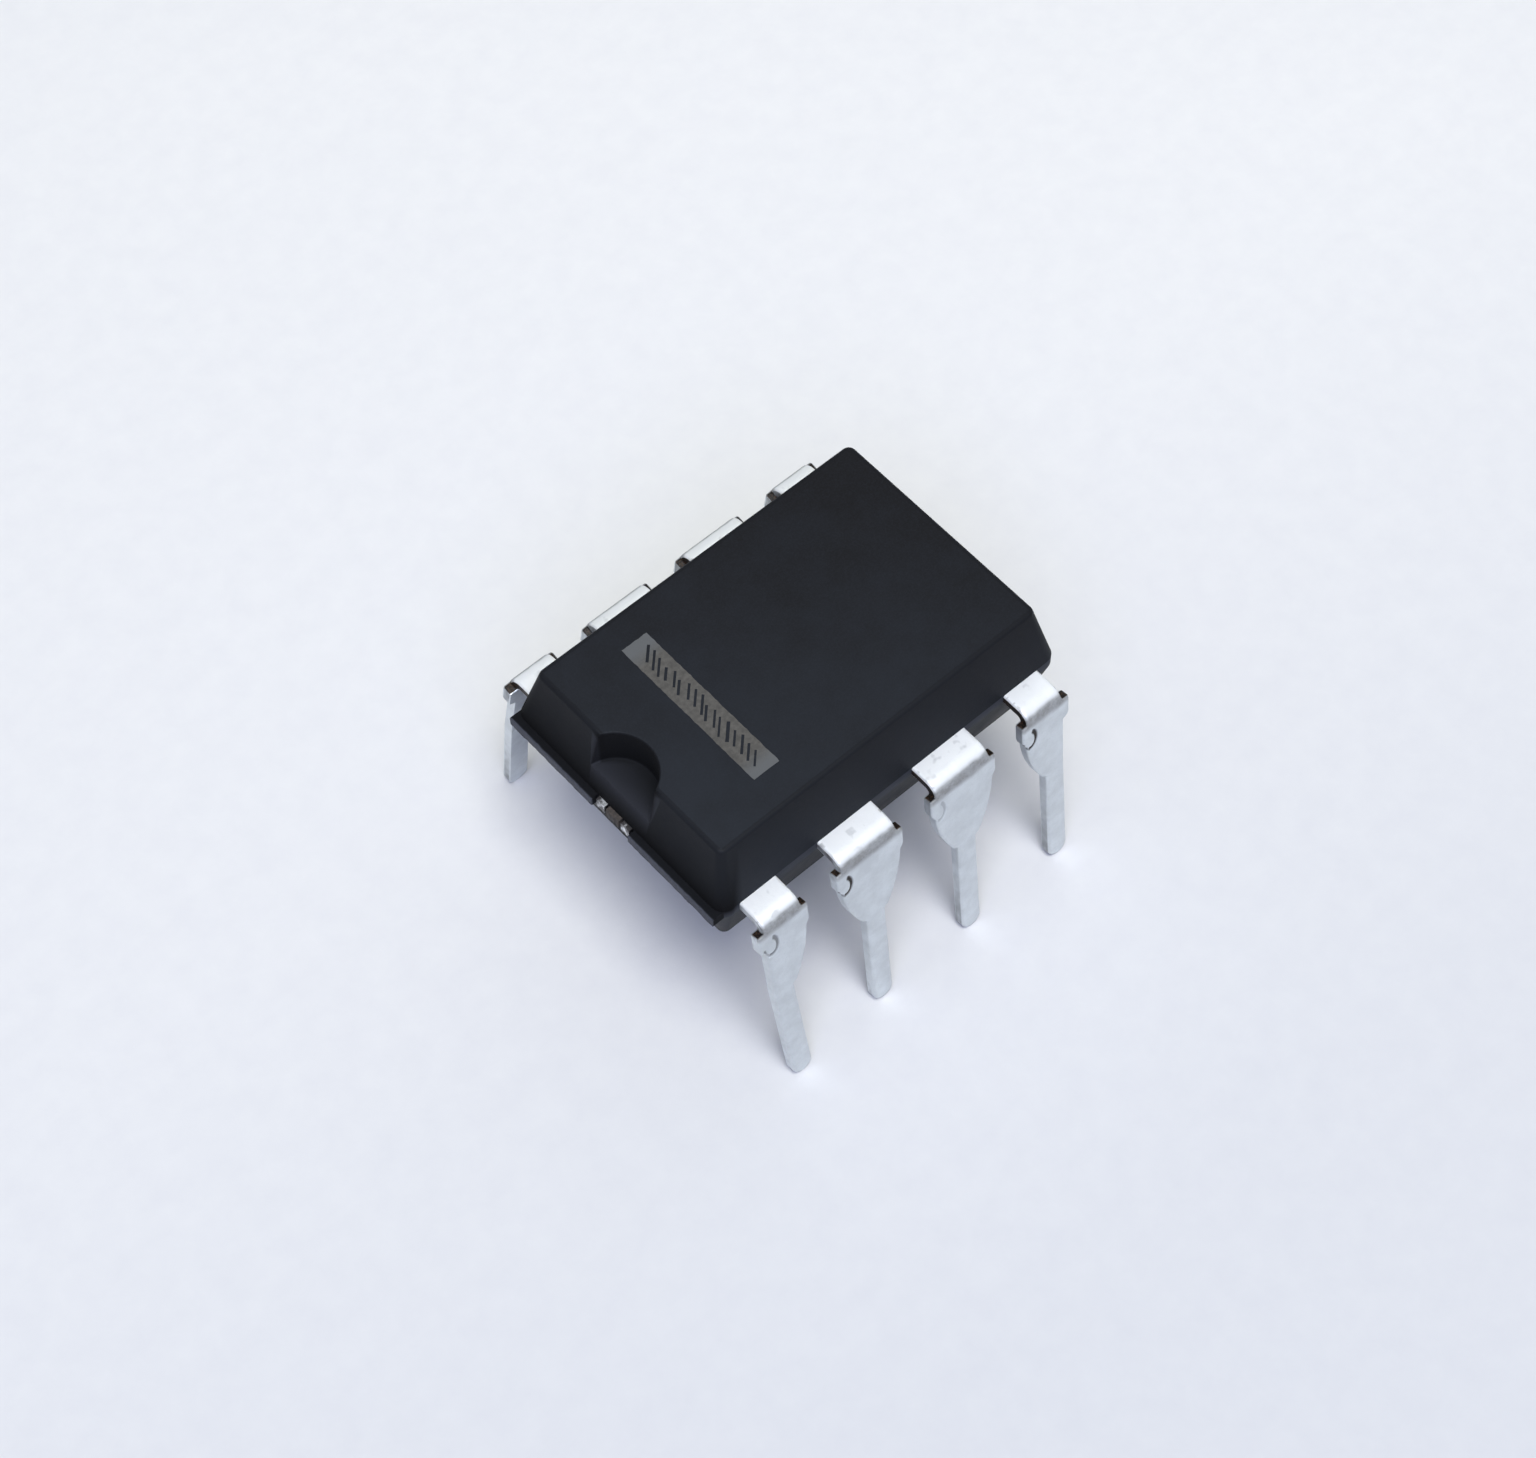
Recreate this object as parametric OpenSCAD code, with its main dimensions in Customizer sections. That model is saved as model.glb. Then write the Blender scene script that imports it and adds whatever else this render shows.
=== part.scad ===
// Eight-lead dual in-line package: a moulded body around a formed metal leadframe.
// Millimetres, +Z up. The origin lies midway between the two rows of leads, at the
// level of the lead tips. The notched end faces -X. Leads 1 to 4 stand on the -Y
// side and leads 5 to 8 come back along the +Y side.

/* [Body] */
// Length of the body at its parting line
body_l = 9.1; // [8.9:0.05:9.5]
// Width of the body at its parting line
body_w = 6.33; // [6.1:0.01:6.6]
// Height of the body
body_h = 3.3; // [3:0.05:3.6]
// Height of the underside above the lead tips
body_z = 3.9; // [3.7:0.05:4.2]
// How far each end slopes in from the parting line to the top face
end_draft = 0.34; // [0.1:0.02:0.5]
// How far each long side slopes in from the parting line to the top face
side_draft = 0.38; // [0.1:0.02:0.5]
// How far the mould sat off the leadframe's middle, towards the plain end
mould_shift = 0.05; // [0:0.01:0.14]
// Corner radius of the body at its parting line
corner_r = 0.3; // [0.2:0.05:0.5]
// Corner radius of the top face
top_corner_r = 0.18; // [0.16:0.02:0.4]
// Rounding of the edges of the top face and the underside
edge_r = 0.1; // [0.04:0.02:0.14]

/* [Notch, flash and ejector marks] */
// Radius of the half-round notch
notch_r = 0.9; // [0.6:0.05:1.1]
// How far the notch's centre lies outside the edge of the top face
notch_out = 0.32; // [0:0.02:0.5]
// Depth of the notch
notch_depth = 0.95; // [0.4:0.05:1.2]
// How far the thin mould flash stands out at the notched end
flash_out = 0.2; // [0.1:0.02:0.3]
// Width of the flash across the end
flash_w = 6.2; // [5.4:0.1:6.3]
// Gap between the flash and each tie-bar prong
flash_gap = 0.06; // [0.02:0.02:0.2]
// How far the broken moulding gate stands out between the prongs
gate_out = 0.15; // [0.05:0.01:0.2]
// Diameter of the two ejector-pin marks on the underside
ejector_d = 1.5; // [0.8:0.1:2]
// Depth of the ejector-pin marks
ejector_depth = 0.08; // [0.04:0.02:0.2]
// Distance of each ejector-pin mark from the middle of the body
ejector_x = 2.7; // [1.6:0.1:3]

/* [Leadframe] */
// Thickness of the leadframe metal
lead_t = 0.25; // [0.2:0.01:0.3]
// Spacing of the leads along a row
pitch = 2.54; // [2.5:0.01:2.58]
// Spacing of the two rows, between the middles of the metal just below the bends
row_spacing = 7.62; // [7.4:0.02:7.9]
// Inside radius of the lead bends
bend_r = 0.12; // [0.08:0.01:0.25]
// Width of a middle lead where it leaves the body
shoulder_w = 1.45; // [1:0.05:1.46]
// How far a corner lead's shoulder reaches from the pin's centre line towards the body's middle
corner_in = 0.73; // [0.5:0.01:0.76]
// How far a corner lead's shoulder reaches from the pin's centre line towards the body's end
corner_out = 0.22; // [0.12:0.02:0.24]
// Width of the blade, the wide stretch below the bend
blade_w = 1.6; // [1.48:0.02:1.66]
// Distance down the blade before its sides curve in
blade_drop = 0.35; // [0.1:0.05:0.8]
// Width of the blade where it meets the pin
root_w = 0.7; // [0.6:0.02:0.9]
// Height of the blade's lower end above the tips, which sets how deep the pins plug in
seat_z = 3.2; // [2.9:0.05:3.4]
// Width of the pins
pin_w = 0.5; // [0.4:0.02:0.56]
// Angle round the bend at which the sheared dam-bar stubs begin
stub_angle = 26; // [20:1:60]
// Distance that the stubs run down the blade
stub_drop = 0.55; // [0.3:0.05:0.9]
// How far the stubs stand out from the blade's sides
stub_out = 0.08; // [0.02:0.01:0.12]
// How far the outer stub of a corner lead stands out from its pin
corner_stub_out = 0.16; // [0.06:0.01:0.2]

/* [Lead stance] */
// How far each leg leans out from upright, leads 1 to 8
splay = [8, 6.5, 6.5, 6, 9, 9, 9, 11]; // [0:0.5:12]
// How far each pin is bent along the row towards the body's middle, leads 1 to 8
lean = [2.5, 0, 0, -1, 0, 0, 0, 3]; // [-6:0.5:6]

/* [Lead fingers] */
// Gap between the finger tips and the die paddle
finger_gap = 0.3; // [0.2:0.02:0.4]
// Width of the fingers at their tips
finger_w = 0.85; // [0.6:0.05:0.9]
// Distance of a middle lead's finger tip from the middle of the body
finger_in = 0.35; // [0.2:0.05:0.6]
// Distance of the fingers' necks in from the body's side
neck_in = 0.6; // [0.5:0.05:0.75]
// Radius of the notches and holes that lock the metal in the moulding
lock_r = 0.16; // [0.1:0.02:0.2]

/* [Die paddle] */
// Length of the die paddle
paddle_l = 3.2; // [2.6:0.1:3.4]
// Width of the die paddle
paddle_w = 2.4; // [2:0.1:2.6]
// How far the paddle is pressed down below the leads
downset = 0.25; // [0.1:0.05:0.4]
// Steepness of the pressed-down ramps
ramp_angle = 45; // [30:5:60]
// Distance from the paddle's edge to its ramps
ramp_gap = 0.1; // [0.05:0.05:0.3]
// Width of the tie bars
tie_w = 1; // [0.8:0.05:1.1]
// Width of the slot that splits each tie bar into two prongs
tie_slot = 0.5; // [0.3:0.05:0.6]
// Distance of the slots' inner ends beyond the ramps
tie_web = 0.5; // [0.2:0.05:0.8]
// How far the prongs stand out of the notched end
tie_out = 0.1; // [0:0.02:0.16]

/* [Die and wires] */
// Length of the die
die_l = 1.6; // [1.2:0.1:2]
// Width of the die
die_w = 1.3; // [1:0.1:1.6]
// Thickness of the die
die_t = 0.3; // [0.2:0.02:0.36]
// Thickness of the adhesive below the die
attach_t = 0.03; // [0.02:0.005:0.05]
// How far the adhesive spreads beyond the die
attach_rim = 0.12; // [0.05:0.01:0.2]
// Spacing of the bond pads along the die
pad_pitch = 0.4; // [0.3:0.02:0.44]
// Distance of the bond pads in from the die's edge
pad_in = 0.12; // [0.08:0.01:0.2]
// Diameter of the bond wires
wire_d = 0.025; // [0.02:0.005:0.04]
// Height of each wire's loop above its ends
wire_loop = 0.24; // [0.15:0.01:0.3]
// Distance from a finger's tip to its wire
stitch_in = 0.25; // [0.2:0.05:0.4]
// Diameter of the ball that bonds each wire to the die
ball_d = 0.08; // [0.06:0.01:0.1]
// Height of that ball
ball_h = 0.03; // [0.02:0.005:0.04]

/* [Hidden] */
// Margin by which cutting shapes run past what they cut
over = 1;
// Middle, top and bottom of the leadframe metal where it lies flat
frame_z = body_z + body_h / 2;
frame_top = frame_z + lead_t / 2;
frame_bottom = frame_z - lead_t / 2;
body_top = body_z + body_h;
// Outside radius, axis height and axis distance of the lead bends
outer_r = bend_r + lead_t;
axis_z = frame_bottom - bend_r;
axis_y = row_spacing / 2 + lead_t / 2 - outer_r;
// Ends of the body at its parting line, and edge of its top face at the notch
notch_end = mould_shift - body_l / 2;
plain_end = mould_shift + body_l / 2;
notch_edge = notch_end + end_draft;
// Ramps of the paddle's tie bars, from the inside out
ramp_in = paddle_l / 2 + ramp_gap;
ramp_out = ramp_in + downset / tan(ramp_angle);
paddle_top = frame_top - downset;
die_z = paddle_top + attach_t;
die_top = die_z + die_t;
// Lines where the fingers' necks and tips lie
neck_y = body_w / 2 - neck_in;
tip_y = paddle_w / 2 + finger_gap;
tip_x = paddle_l / 2 + finger_gap;
// Nearest that a corner finger comes to the tie bar
corner_tip_y = tie_w / 2 + finger_gap;

// Distance of lead i from the middle of its row, along +X on the far side
function row_x(i) = pitch * (i > 4 ? 6.5 - i : 2.5 - i);
// Whether lead i stands at a corner of the package
function at_corner(i) = abs(row_x(i)) > pitch;

// An upright rod at one corner of the body, centred on height z
module corner_rod(r, h, z) {
    translate([0, 0, z - h / 2]) cylinder(r = r, h = h, $fn = 32);
}

// The rods that one corner of the body is stretched over: a short one at the parting
// line, and full-height ones that step in round the edges of the top and underside
module body_corner() {
    translate([body_l / 2 - corner_r, body_w / 2 - corner_r, 0])
        corner_rod(corner_r, lead_t, frame_z);
    top_x = body_l / 2 - end_draft - top_corner_r;
    top_y = body_w / 2 - side_draft - top_corner_r;
    translate([top_x, top_y, 0])
        for (a = [0:30:90])
            corner_rod(
                top_corner_r - edge_r * (1 - cos(a)),
                body_h - 2 * edge_r * (1 - sin(a)),
                frame_z
            );
}

// The whole moulding before anything is cut from it
module moulding() {
    translate([mould_shift, 0, 0]) hull()
        for (x = [0, 1], y = [0, 1])
            mirror([x, 0, 0]) mirror([0, y, 0]) body_corner();
}

// Thin flash at the notched end, in the leadframe's thickness, open round the prongs
module end_flash() {
    prongs = tie_w / 2 + flash_gap;
    for (s = [0, 1]) mirror([0, s, 0])
        translate([notch_end - flash_out, prongs, frame_bottom])
            cube([flash_out + end_draft, flash_w / 2 - prongs, lead_t]);
    translate([notch_end - gate_out, flash_gap - tie_slot / 2, frame_bottom])
        cube([gate_out + end_draft, tie_slot - 2 * flash_gap, lead_t]);
}

// The half-round notch that marks the end with lead 1
module notch() {
    translate([notch_edge - notch_out, 0, body_top - notch_depth])
        cylinder(r = notch_r, h = notch_depth + over, $fn = 96);
}

// Shallow round marks left by the mould's ejector pins
module ejector_marks() {
    for (x = [-ejector_x, ejector_x])
        translate([mould_shift + x, 0, body_z - over])
            cylinder(d = ejector_d, h = over + ejector_depth, $fn = 64);
}

// Everything that lies in the moulding
module inner_pieces() {
    for (i = [1:8]) {
        lead(i);
        bond_wire(i);
    }
    die_paddle();
    die_attach();
    die();
}

module body() {
    color([0.09, 0.095, 0.105])
        difference() {
            union() {
                moulding();
                end_flash();
            }
            notch();
            ejector_marks();
            inner_pieces();
        }
}

// Region inside a bend of radius r, from the flat lead to the splayed leg
module inside_bend(r, angle, reach) {
    circle(r, $fn = 96);
    translate([-reach, -reach]) square([reach, reach + r]);
    rotate(angle) translate([-reach, -reach]) square([reach + r, reach]);
}

// Side view of a bent lead: flat strip, bend and straight leg, with the bend's axis at 0
module bent_strip(angle) {
    difference() {
        inside_bend(outer_r, angle, 8);
        inside_bend(bend_r, angle, 9);
    }
}

// Width of a finger's outline from above, for a middle lead. x is measured from
// the package's middle and xc is the pin's centre line.
module middle_finger(xc) {
    side = shoulder_w / 2;
    difference() {
        polygon([
            [xc - side, row_spacing], [xc - side, neck_y], [finger_in, tip_y],
            [finger_in + finger_w, tip_y], [xc + side, neck_y], [xc + side, row_spacing]
        ]);
        for (x = [xc - side, xc + side])
            translate([x, body_w / 2 - neck_in / 2]) circle(lock_r, $fn = 48);
    }
}

// The same for a corner lead, whose finger turns in towards the paddle's end
module corner_finger(xc) {
    difference() {
        polygon([
            [xc - corner_in, row_spacing], [xc - corner_in, neck_y - 0.15],
            [tip_x + finger_w * 0.7, corner_tip_y + finger_w * 0.8],
            [tip_x, corner_tip_y + finger_w * 0.8], [tip_x, corner_tip_y],
            [tip_x + finger_w, corner_tip_y], [xc + corner_out, neck_y - 0.35],
            [xc + corner_out, row_spacing]
        ]);
        translate([xc + (corner_out - corner_in) / 2, body_w / 2 - neck_in])
            circle(lock_r, $fn = 48);
    }
}

// Outline of the leg, seen square on, with the bend's axis at 0 and down along -Y.
// The sides of the blade are straight at first, and then large arcs draw them in.
module leg_outline(corner, lean_angle, root, length) {
    half = blade_w / 2;
    run = root - blade_drop;
    inset = half - root_w / 2;
    side_r = (run * run + inset * inset) / (2 * inset);
    outer_side = corner ? pin_w / 2 : half;
    intersection() {
        union() {
            translate([-half, -blade_drop]) square([blade_w, blade_drop + over]);
            intersection() {
                translate([half - side_r, -blade_drop]) circle(side_r, $fn = 180);
                translate([side_r - half, -blade_drop]) circle(side_r, $fn = 180);
                translate([-half, -root]) square([blade_w, run + 0.1]);
            }
        }
        translate([-half - over, -root - over]) square([half + over + outer_side, root + 3 * over]);
    }
    stubs(half, corner ? outer_side + corner_stub_out : half + stub_out);
    pin_run = (length - root - pin_w / 2) / cos(lean_angle);
    translate([0, -root]) rotate(-lean_angle) {
        translate([-pin_w / 2, -pin_run]) square([pin_w, pin_run + 0.3]);
        translate([0, -pin_run]) circle(d = pin_w, $fn = 64);
    }
}

// The two dam-bar stubs, as one band across the top of the blade
module stubs(half, outer) {
    translate([-half - stub_out, -stub_drop])
        square([half + stub_out + outer, stub_drop + over]);
}

// One lead on the far row, with its outer side towards +X
module formed_lead(xc, corner, splay_angle, lean_angle) {
    root = (axis_z - seat_z) / cos(splay_angle);
    length = (axis_z + bend_r * sin(splay_angle)) / cos(splay_angle);
    intersection() {
        translate([xc - 4, axis_y, axis_z]) rotate([90, 0, 90])
            linear_extrude(8) bent_strip(splay_angle);
        union() {
            translate([0, 0, axis_z - 0.1]) linear_extrude(outer_r + 0.2)
                if (corner) corner_finger(xc); else middle_finger(xc);
            translate([xc, axis_y, axis_z])
                leg_plate(corner, splay_angle, lean_angle, root, length);
        }
    }
}

// The leg as a thick plate round the bend's axis, which begins at the stubs
module leg_plate(corner, splay_angle, lean_angle, root, length) {
    difference() {
        rotate([splay_angle, 0, 0]) translate([0, outer_r + 0.1, 0]) rotate([90, 0, 0])
            linear_extrude(outer_r + 0.1) leg_outline(corner, lean_angle, root, length);
        rotate([stub_angle, 0, 0]) translate([-2, -2, 0]) cube([4, 4, 2]);
    }
}

module lead(i) {
    x = row_x(i);
    color([0.78, 0.8, 0.83])
        rotate([0, 0, i > 4 ? 0 : 180]) mirror([x < 0 ? 1 : 0, 0, 0])
            formed_lead(abs(x), at_corner(i), splay[i - 1], lean[i - 1]);
}

// Side view of the paddle and its tie bars, pressed down in the middle
module pressed_strip(x0, x1) {
    k = lead_t * tan(ramp_angle / 2);
    polygon([
        [x0, frame_top], [-ramp_out, frame_top], [-ramp_in, paddle_top],
        [ramp_in, paddle_top], [ramp_out, frame_top], [x1, frame_top],
        [x1, frame_bottom], [ramp_out + k, frame_bottom], [ramp_in + k, paddle_top - lead_t],
        [-ramp_in - k, paddle_top - lead_t], [-ramp_out - k, frame_bottom], [x0, frame_bottom]
    ]);
}

// The paddle and its tie bars from above
module paddle_outline() {
    slot_x = ramp_out + tie_web;
    square([paddle_l, paddle_w], center = true);
    difference() {
        square([2 * body_l, tie_w], center = true);
        for (s = [0, 1]) mirror([s, 0])
            translate([slot_x, -tie_slot / 2]) square([body_l, tie_slot]);
    }
}

module die_paddle() {
    color([0.72, 0.45, 0.3])
        intersection() {
            translate([0, body_w / 2, 0]) rotate([90, 0, 0])
                linear_extrude(body_w) pressed_strip(notch_end - tie_out, plain_end);
            linear_extrude(body_top) paddle_outline();
        }
}

module die_attach() {
    color([0.75, 0.75, 0.72])
        translate([-die_l / 2 - attach_rim, -die_w / 2 - attach_rim, paddle_top])
            cube([die_l + 2 * attach_rim, die_w + 2 * attach_rim, attach_t]);
}

module die() {
    color([0.35, 0.37, 0.42])
        translate([-die_l / 2, -die_w / 2, die_z]) cube([die_l, die_w, die_t]);
}

// Where wire i meets the die, and where it meets its finger, on the far row
function pad_at(i) = [pad_pitch * row_x(i) / pitch, die_w / 2 - pad_in, die_top];
function stitch_at(i) =
    let (s = sign(row_x(i)))
    at_corner(i)
        ? [s * (tip_x + stitch_in), corner_tip_y + finger_w * 0.4, frame_top]
        : [s * (finger_in + finger_w / 2), tip_y + stitch_in, frame_top];

// An arc of wire that rises from point a and lands at point b, run on past both
module wire_arc(a, b) {
    flat = norm([b[0] - a[0], b[1] - a[1]]);
    chord = norm(b - a);
    r = (chord * chord / 4 + wire_loop * wire_loop) / (2 * wire_loop);
    half_angle = asin(chord / 2 / r);
    past = wire_d / r * 57.3;
    translate((a + b) / 2)
        rotate([0, -atan2(b[2] - a[2], flat), atan2(b[1] - a[1], b[0] - a[0])])
            translate([0, 0, wire_loop - r]) rotate([90, 0, 0])
                rotate([0, 0, 90 - half_angle - past])
                    rotate_extrude(angle = 2 * (half_angle + past), $fn = 96)
                        translate([r, 0]) circle(d = wire_d, $fn = 16);
}

module bond_wire(i) {
    color([0.9, 0.72, 0.3])
        rotate([0, 0, i > 4 ? 0 : 180]) {
            difference() {
                wire_arc(pad_at(i), stitch_at(i));
                translate([-die_l / 2, -die_w / 2, die_z]) cube([die_l, die_w, die_t]);
                translate([-body_l / 2, 0, body_z]) cube([body_l, body_w / 2, frame_top - body_z]);
            }
            translate(pad_at(i)) cylinder(d = ball_d, h = ball_h, $fn = 24);
        }
}

body();
die_paddle();
die_attach();
die();
for (i = [1:8]) lead(i);
for (i = [1:8]) bond_wire(i);
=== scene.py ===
"""Eight-lead dual in-line chip on pale paper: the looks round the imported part.

Lengths are in millimetres. MM turns them into the metres of meshes, nodes, lamps and camera.
"""

import math
import random

import bmesh
import bpy
import numpy as np
from mathutils import Matrix, Vector, noise
from mathutils.geometry import delaunay_2d_cdt

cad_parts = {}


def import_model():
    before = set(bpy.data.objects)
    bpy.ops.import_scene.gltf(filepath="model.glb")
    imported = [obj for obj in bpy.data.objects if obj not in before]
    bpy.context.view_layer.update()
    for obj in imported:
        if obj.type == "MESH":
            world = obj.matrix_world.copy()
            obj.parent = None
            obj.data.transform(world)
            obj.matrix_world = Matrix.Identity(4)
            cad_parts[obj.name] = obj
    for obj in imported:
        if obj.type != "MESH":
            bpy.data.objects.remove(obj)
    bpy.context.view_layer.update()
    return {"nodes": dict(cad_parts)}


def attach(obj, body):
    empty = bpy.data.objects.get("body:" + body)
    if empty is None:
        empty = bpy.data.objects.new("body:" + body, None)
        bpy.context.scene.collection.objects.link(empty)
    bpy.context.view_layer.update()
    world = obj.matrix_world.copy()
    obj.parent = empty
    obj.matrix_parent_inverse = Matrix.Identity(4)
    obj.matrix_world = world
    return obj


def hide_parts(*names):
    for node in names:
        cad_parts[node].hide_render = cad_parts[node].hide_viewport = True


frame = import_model()
MM = 0.001
# Points closer than this, in millimetres, are one point in a net of triangles
MERGE = 1e-6

# Sizes of the part, as in its source
BODY_L, BODY_W, BODY_H, BODY_Z = 9.1, 6.33, 3.3, 3.9
END_DRAFT, SIDE_DRAFT, SHIFT = 0.34, 0.38, 0.05
CORNER_R, TOP_CORNER_R, EDGE_R = 0.3, 0.18, 0.1
NOTCH_R, NOTCH_OUT, NOTCH_DEPTH = 0.9, 0.32, 0.95
FLASH_OUT, FLASH_W, FLASH_GAP, GATE_OUT = 0.2, 6.2, 0.06, 0.15
EJECTOR_D, EJECTOR_DEPTH, EJECTOR_X = 1.5, 0.08, 2.7
LEAD_COUNT, LEAD_T, PITCH, ROWS, BEND_R = 8, 0.25, 2.54, 7.62, 0.12
SHOULDER_W, CORNER_IN, CORNER_OUT = 1.45, 0.73, 0.22
BLADE_W, BLADE_DROP, ROOT_W, SEAT_Z, PIN_W = 1.6, 0.35, 0.7, 3.2, 0.5
STUB_ANGLE, STUB_DROP, STUB_OUT, CORNER_STUB_OUT = 26, 0.55, 0.08, 0.16
FINGER_GAP, FINGER_W, FINGER_IN, NECK_IN = 0.3, 0.85, 0.35, 0.6
PADDLE_L, PADDLE_W, TIE_W, TIE_SLOT = 3.2, 2.4, 1.0, 0.5
# How far each lead splays and how far its pin leans, in degrees
SPLAY = [8, 6.5, 6.5, 6, 9, 9, 9, 11]
LEAN = [2.5, 0, 0, -1, 0, 0, 0, 3]

# Places that follow from the sizes
FRAME_Z = BODY_Z + BODY_H / 2
FRAME_TOP, FRAME_BOTTOM = FRAME_Z + LEAD_T / 2, FRAME_Z - LEAD_T / 2
BODY_TOP = BODY_Z + BODY_H
AXIS_Z = FRAME_BOTTOM - BEND_R
AXIS_Y = ROWS / 2 + LEAD_T / 2 - BEND_R - LEAD_T
NOTCH_END, PLAIN_END = SHIFT - BODY_L / 2, SHIFT + BODY_L / 2
NOTCH_X = NOTCH_END + END_DRAFT - NOTCH_OUT
# Where a lead, measured along itself from the start of its bend, leaves the moulding
FACE_Q = BODY_W / 2 - AXIS_Y

# Finish of the body: softened parting line, rounded edges, and room round a prong's end
LIP, LIP_H, FLAT_IN, FLAT_R = 0.004, 0.012, 0.03, 0.05
NOTCH_EDGE, EJECTOR_EDGE, BEVEL = 0.045, 0.02, 0.022
POCKET_GAP, POCKET_DEPTH = 0.004, 0.05
# Bands of the body that look different: rubbed edges, a pale upper end that is a painted reflection,
# and a dark band over the flash that is painted shade
RUBBED_H, RUBBED_IN, PALE_FROM, PALE_TO, DARK_TO = 0.085, 0.115, 0.42, 0.1, 0.3
WALL_TO, SEAM_H, REACH = 0.03, 0.003, 0.02
# Finish of the leads: rounded rims with two rows of points each, sheared stubs, punch marks
RIM_TOP, RIM_LOW, SHEAR = 0.05, 0.02, 0.03
RIM_ROWS = (0.014, 0.04)
MARK_IN, CORNER_MARK_IN, MARK_DROP = 0.18, 0.28, 0.44
MARK_R = np.array([0.17, 0.27])
MARK_RINGS = (0.25, 0.45, 0.6, 0.72, 0.82, 0.9, 0.98, 1.06, 1.14, 1.24, 1.4)
# How dark the punch mark on each blade is, and how dark each lead's cut sides are: dirt, and painted
# shade on the shoulders' side walls
PUNCH = [0.42, 0.6, 0.25, 0.65, 0.3, 0.4, 0.3, 0.4]
DIRT_AND_SHADE = [0.3, 0.35, 0.85, 1.0, 0.6, 0.8, 0.5, 0.8]
# The bar on the top face: its two x, its two y, its margin, and how far it stands out and in
BAR_X, BAR_Y, BAR_MARGIN = (-2.55, -1.9), (-1.95, 2.03), 0.36
BAR_PROUD, BAR_SUNK, BAR_RAGGED = 0.002, 0.02, 0.008


# Node helpers
def srgb(r, g, b):
    """Linear colour from 0 to 255 display values."""
    return tuple(
        (c / 255 / 12.92 if c / 255 <= 0.04045 else ((c / 255 + 0.055) / 1.055) ** 2.4)
        for c in (r, g, b)
    ) + (1.0,)


class Nodes:
    """A node tree with short calls for its nodes."""

    def __init__(self, tree, place):
        self.tree = tree
        tree.nodes.clear()
        self.coord = self.new("ShaderNodeTexCoord").outputs[place]

    def new(self, kind):
        return self.tree.nodes.new(kind)

    def link(self, a, b):
        self.tree.links.new(a, b)

    def put(self, value, socket):
        if isinstance(value, bpy.types.NodeSocket):
            self.link(value, socket)
        else:
            socket.default_value = value

    def noise(self, per_mm, detail=3, rough=0.6):
        n = self.new("ShaderNodeTexNoise")
        n.inputs["Scale"].default_value = per_mm / MM
        n.inputs["Detail"].default_value = detail
        n.inputs["Roughness"].default_value = rough
        self.link(self.coord, n.inputs["Vector"])
        return n.outputs[0]

    def mix(self, factor, a, b):
        n = self.new("ShaderNodeMix")
        n.data_type = "RGBA"
        self.put(factor, n.inputs["Factor"])
        self.put(a, n.inputs["A"])
        self.put(b, n.inputs["B"])
        return n.outputs["Result"]

    def math(self, kind, a, b=0.0):
        n = self.new("ShaderNodeMath")
        n.operation = kind
        self.put(a, n.inputs[0])
        self.put(b, n.inputs[1])
        return n.outputs[0]

    def span(self, value, low, high, to_low, to_high):
        """Carries the range from low to high over to another, and stays within it."""
        n = self.new("ShaderNodeMapRange")
        for k, v in enumerate((value, low, high, to_low, to_high)):
            self.put(v, n.inputs[k])
        return n.outputs[0]

    def spread(self, value, to_low, to_high):
        """The same for the range that most of a noise lies in."""
        return self.span(value, 0.3, 0.7, to_low, to_high)

    def attribute(self, name):
        n = self.new("ShaderNodeAttribute")
        n.attribute_name = name
        return n.outputs["Fac"]

    def axis(self, k):
        n = self.new("ShaderNodeSeparateXYZ")
        self.link(self.coord, n.inputs[0])
        return n.outputs[k]

    def direct_rays(self):
        """1 for the eye, a reflection or a look through glass, 0 for rays that only bring light."""
        path = self.new("ShaderNodeLightPath")
        direct = path.outputs["Is Camera Ray"]
        for kind in ("Is Glossy Ray", "Is Transmission Ray"):
            direct = self.math("MAXIMUM", direct, path.outputs[kind])
        return direct

    def blend(self, factor, a, b):
        """Shader a where the factor is 0, shader b where it is 1."""
        n = self.new("ShaderNodeMixShader")
        for k, socket in enumerate((factor, a, b)):
            self.link(socket, n.inputs[k])
        return n.outputs[0]


class Material(Nodes):
    """A material with one main shader."""

    def __init__(self, name):
        self.mat = bpy.data.materials.new(name)
        self.mat.use_nodes = True
        super().__init__(self.mat.node_tree, "Object")
        self.out = self.new("ShaderNodeOutputMaterial")
        self.shader = self.new("ShaderNodeBsdfPrincipled")
        self.link(self.shader.outputs[0], self.out.inputs[0])

    def bump(self, *layers):
        """Stacks bumps, each a height from 0 to 1 and its depth in millimetres."""
        normal = None
        for height, depth in layers:
            n = self.new("ShaderNodeBump")
            n.inputs["Distance"].default_value = depth * MM
            self.link(height, n.inputs["Height"])
            if normal is not None:
                self.link(normal, n.inputs["Normal"])
            normal = n.outputs[0]
        self.link(normal, self.shader.inputs["Normal"])

    def set(self, **values):
        names = {
            "colour": "Base Color",
            "metal": "Metallic",
            "rough": "Roughness",
            "level": "Specular IOR Level",
        }
        for k, v in values.items():
            self.put(v, self.shader.inputs[names[k]])


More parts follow.
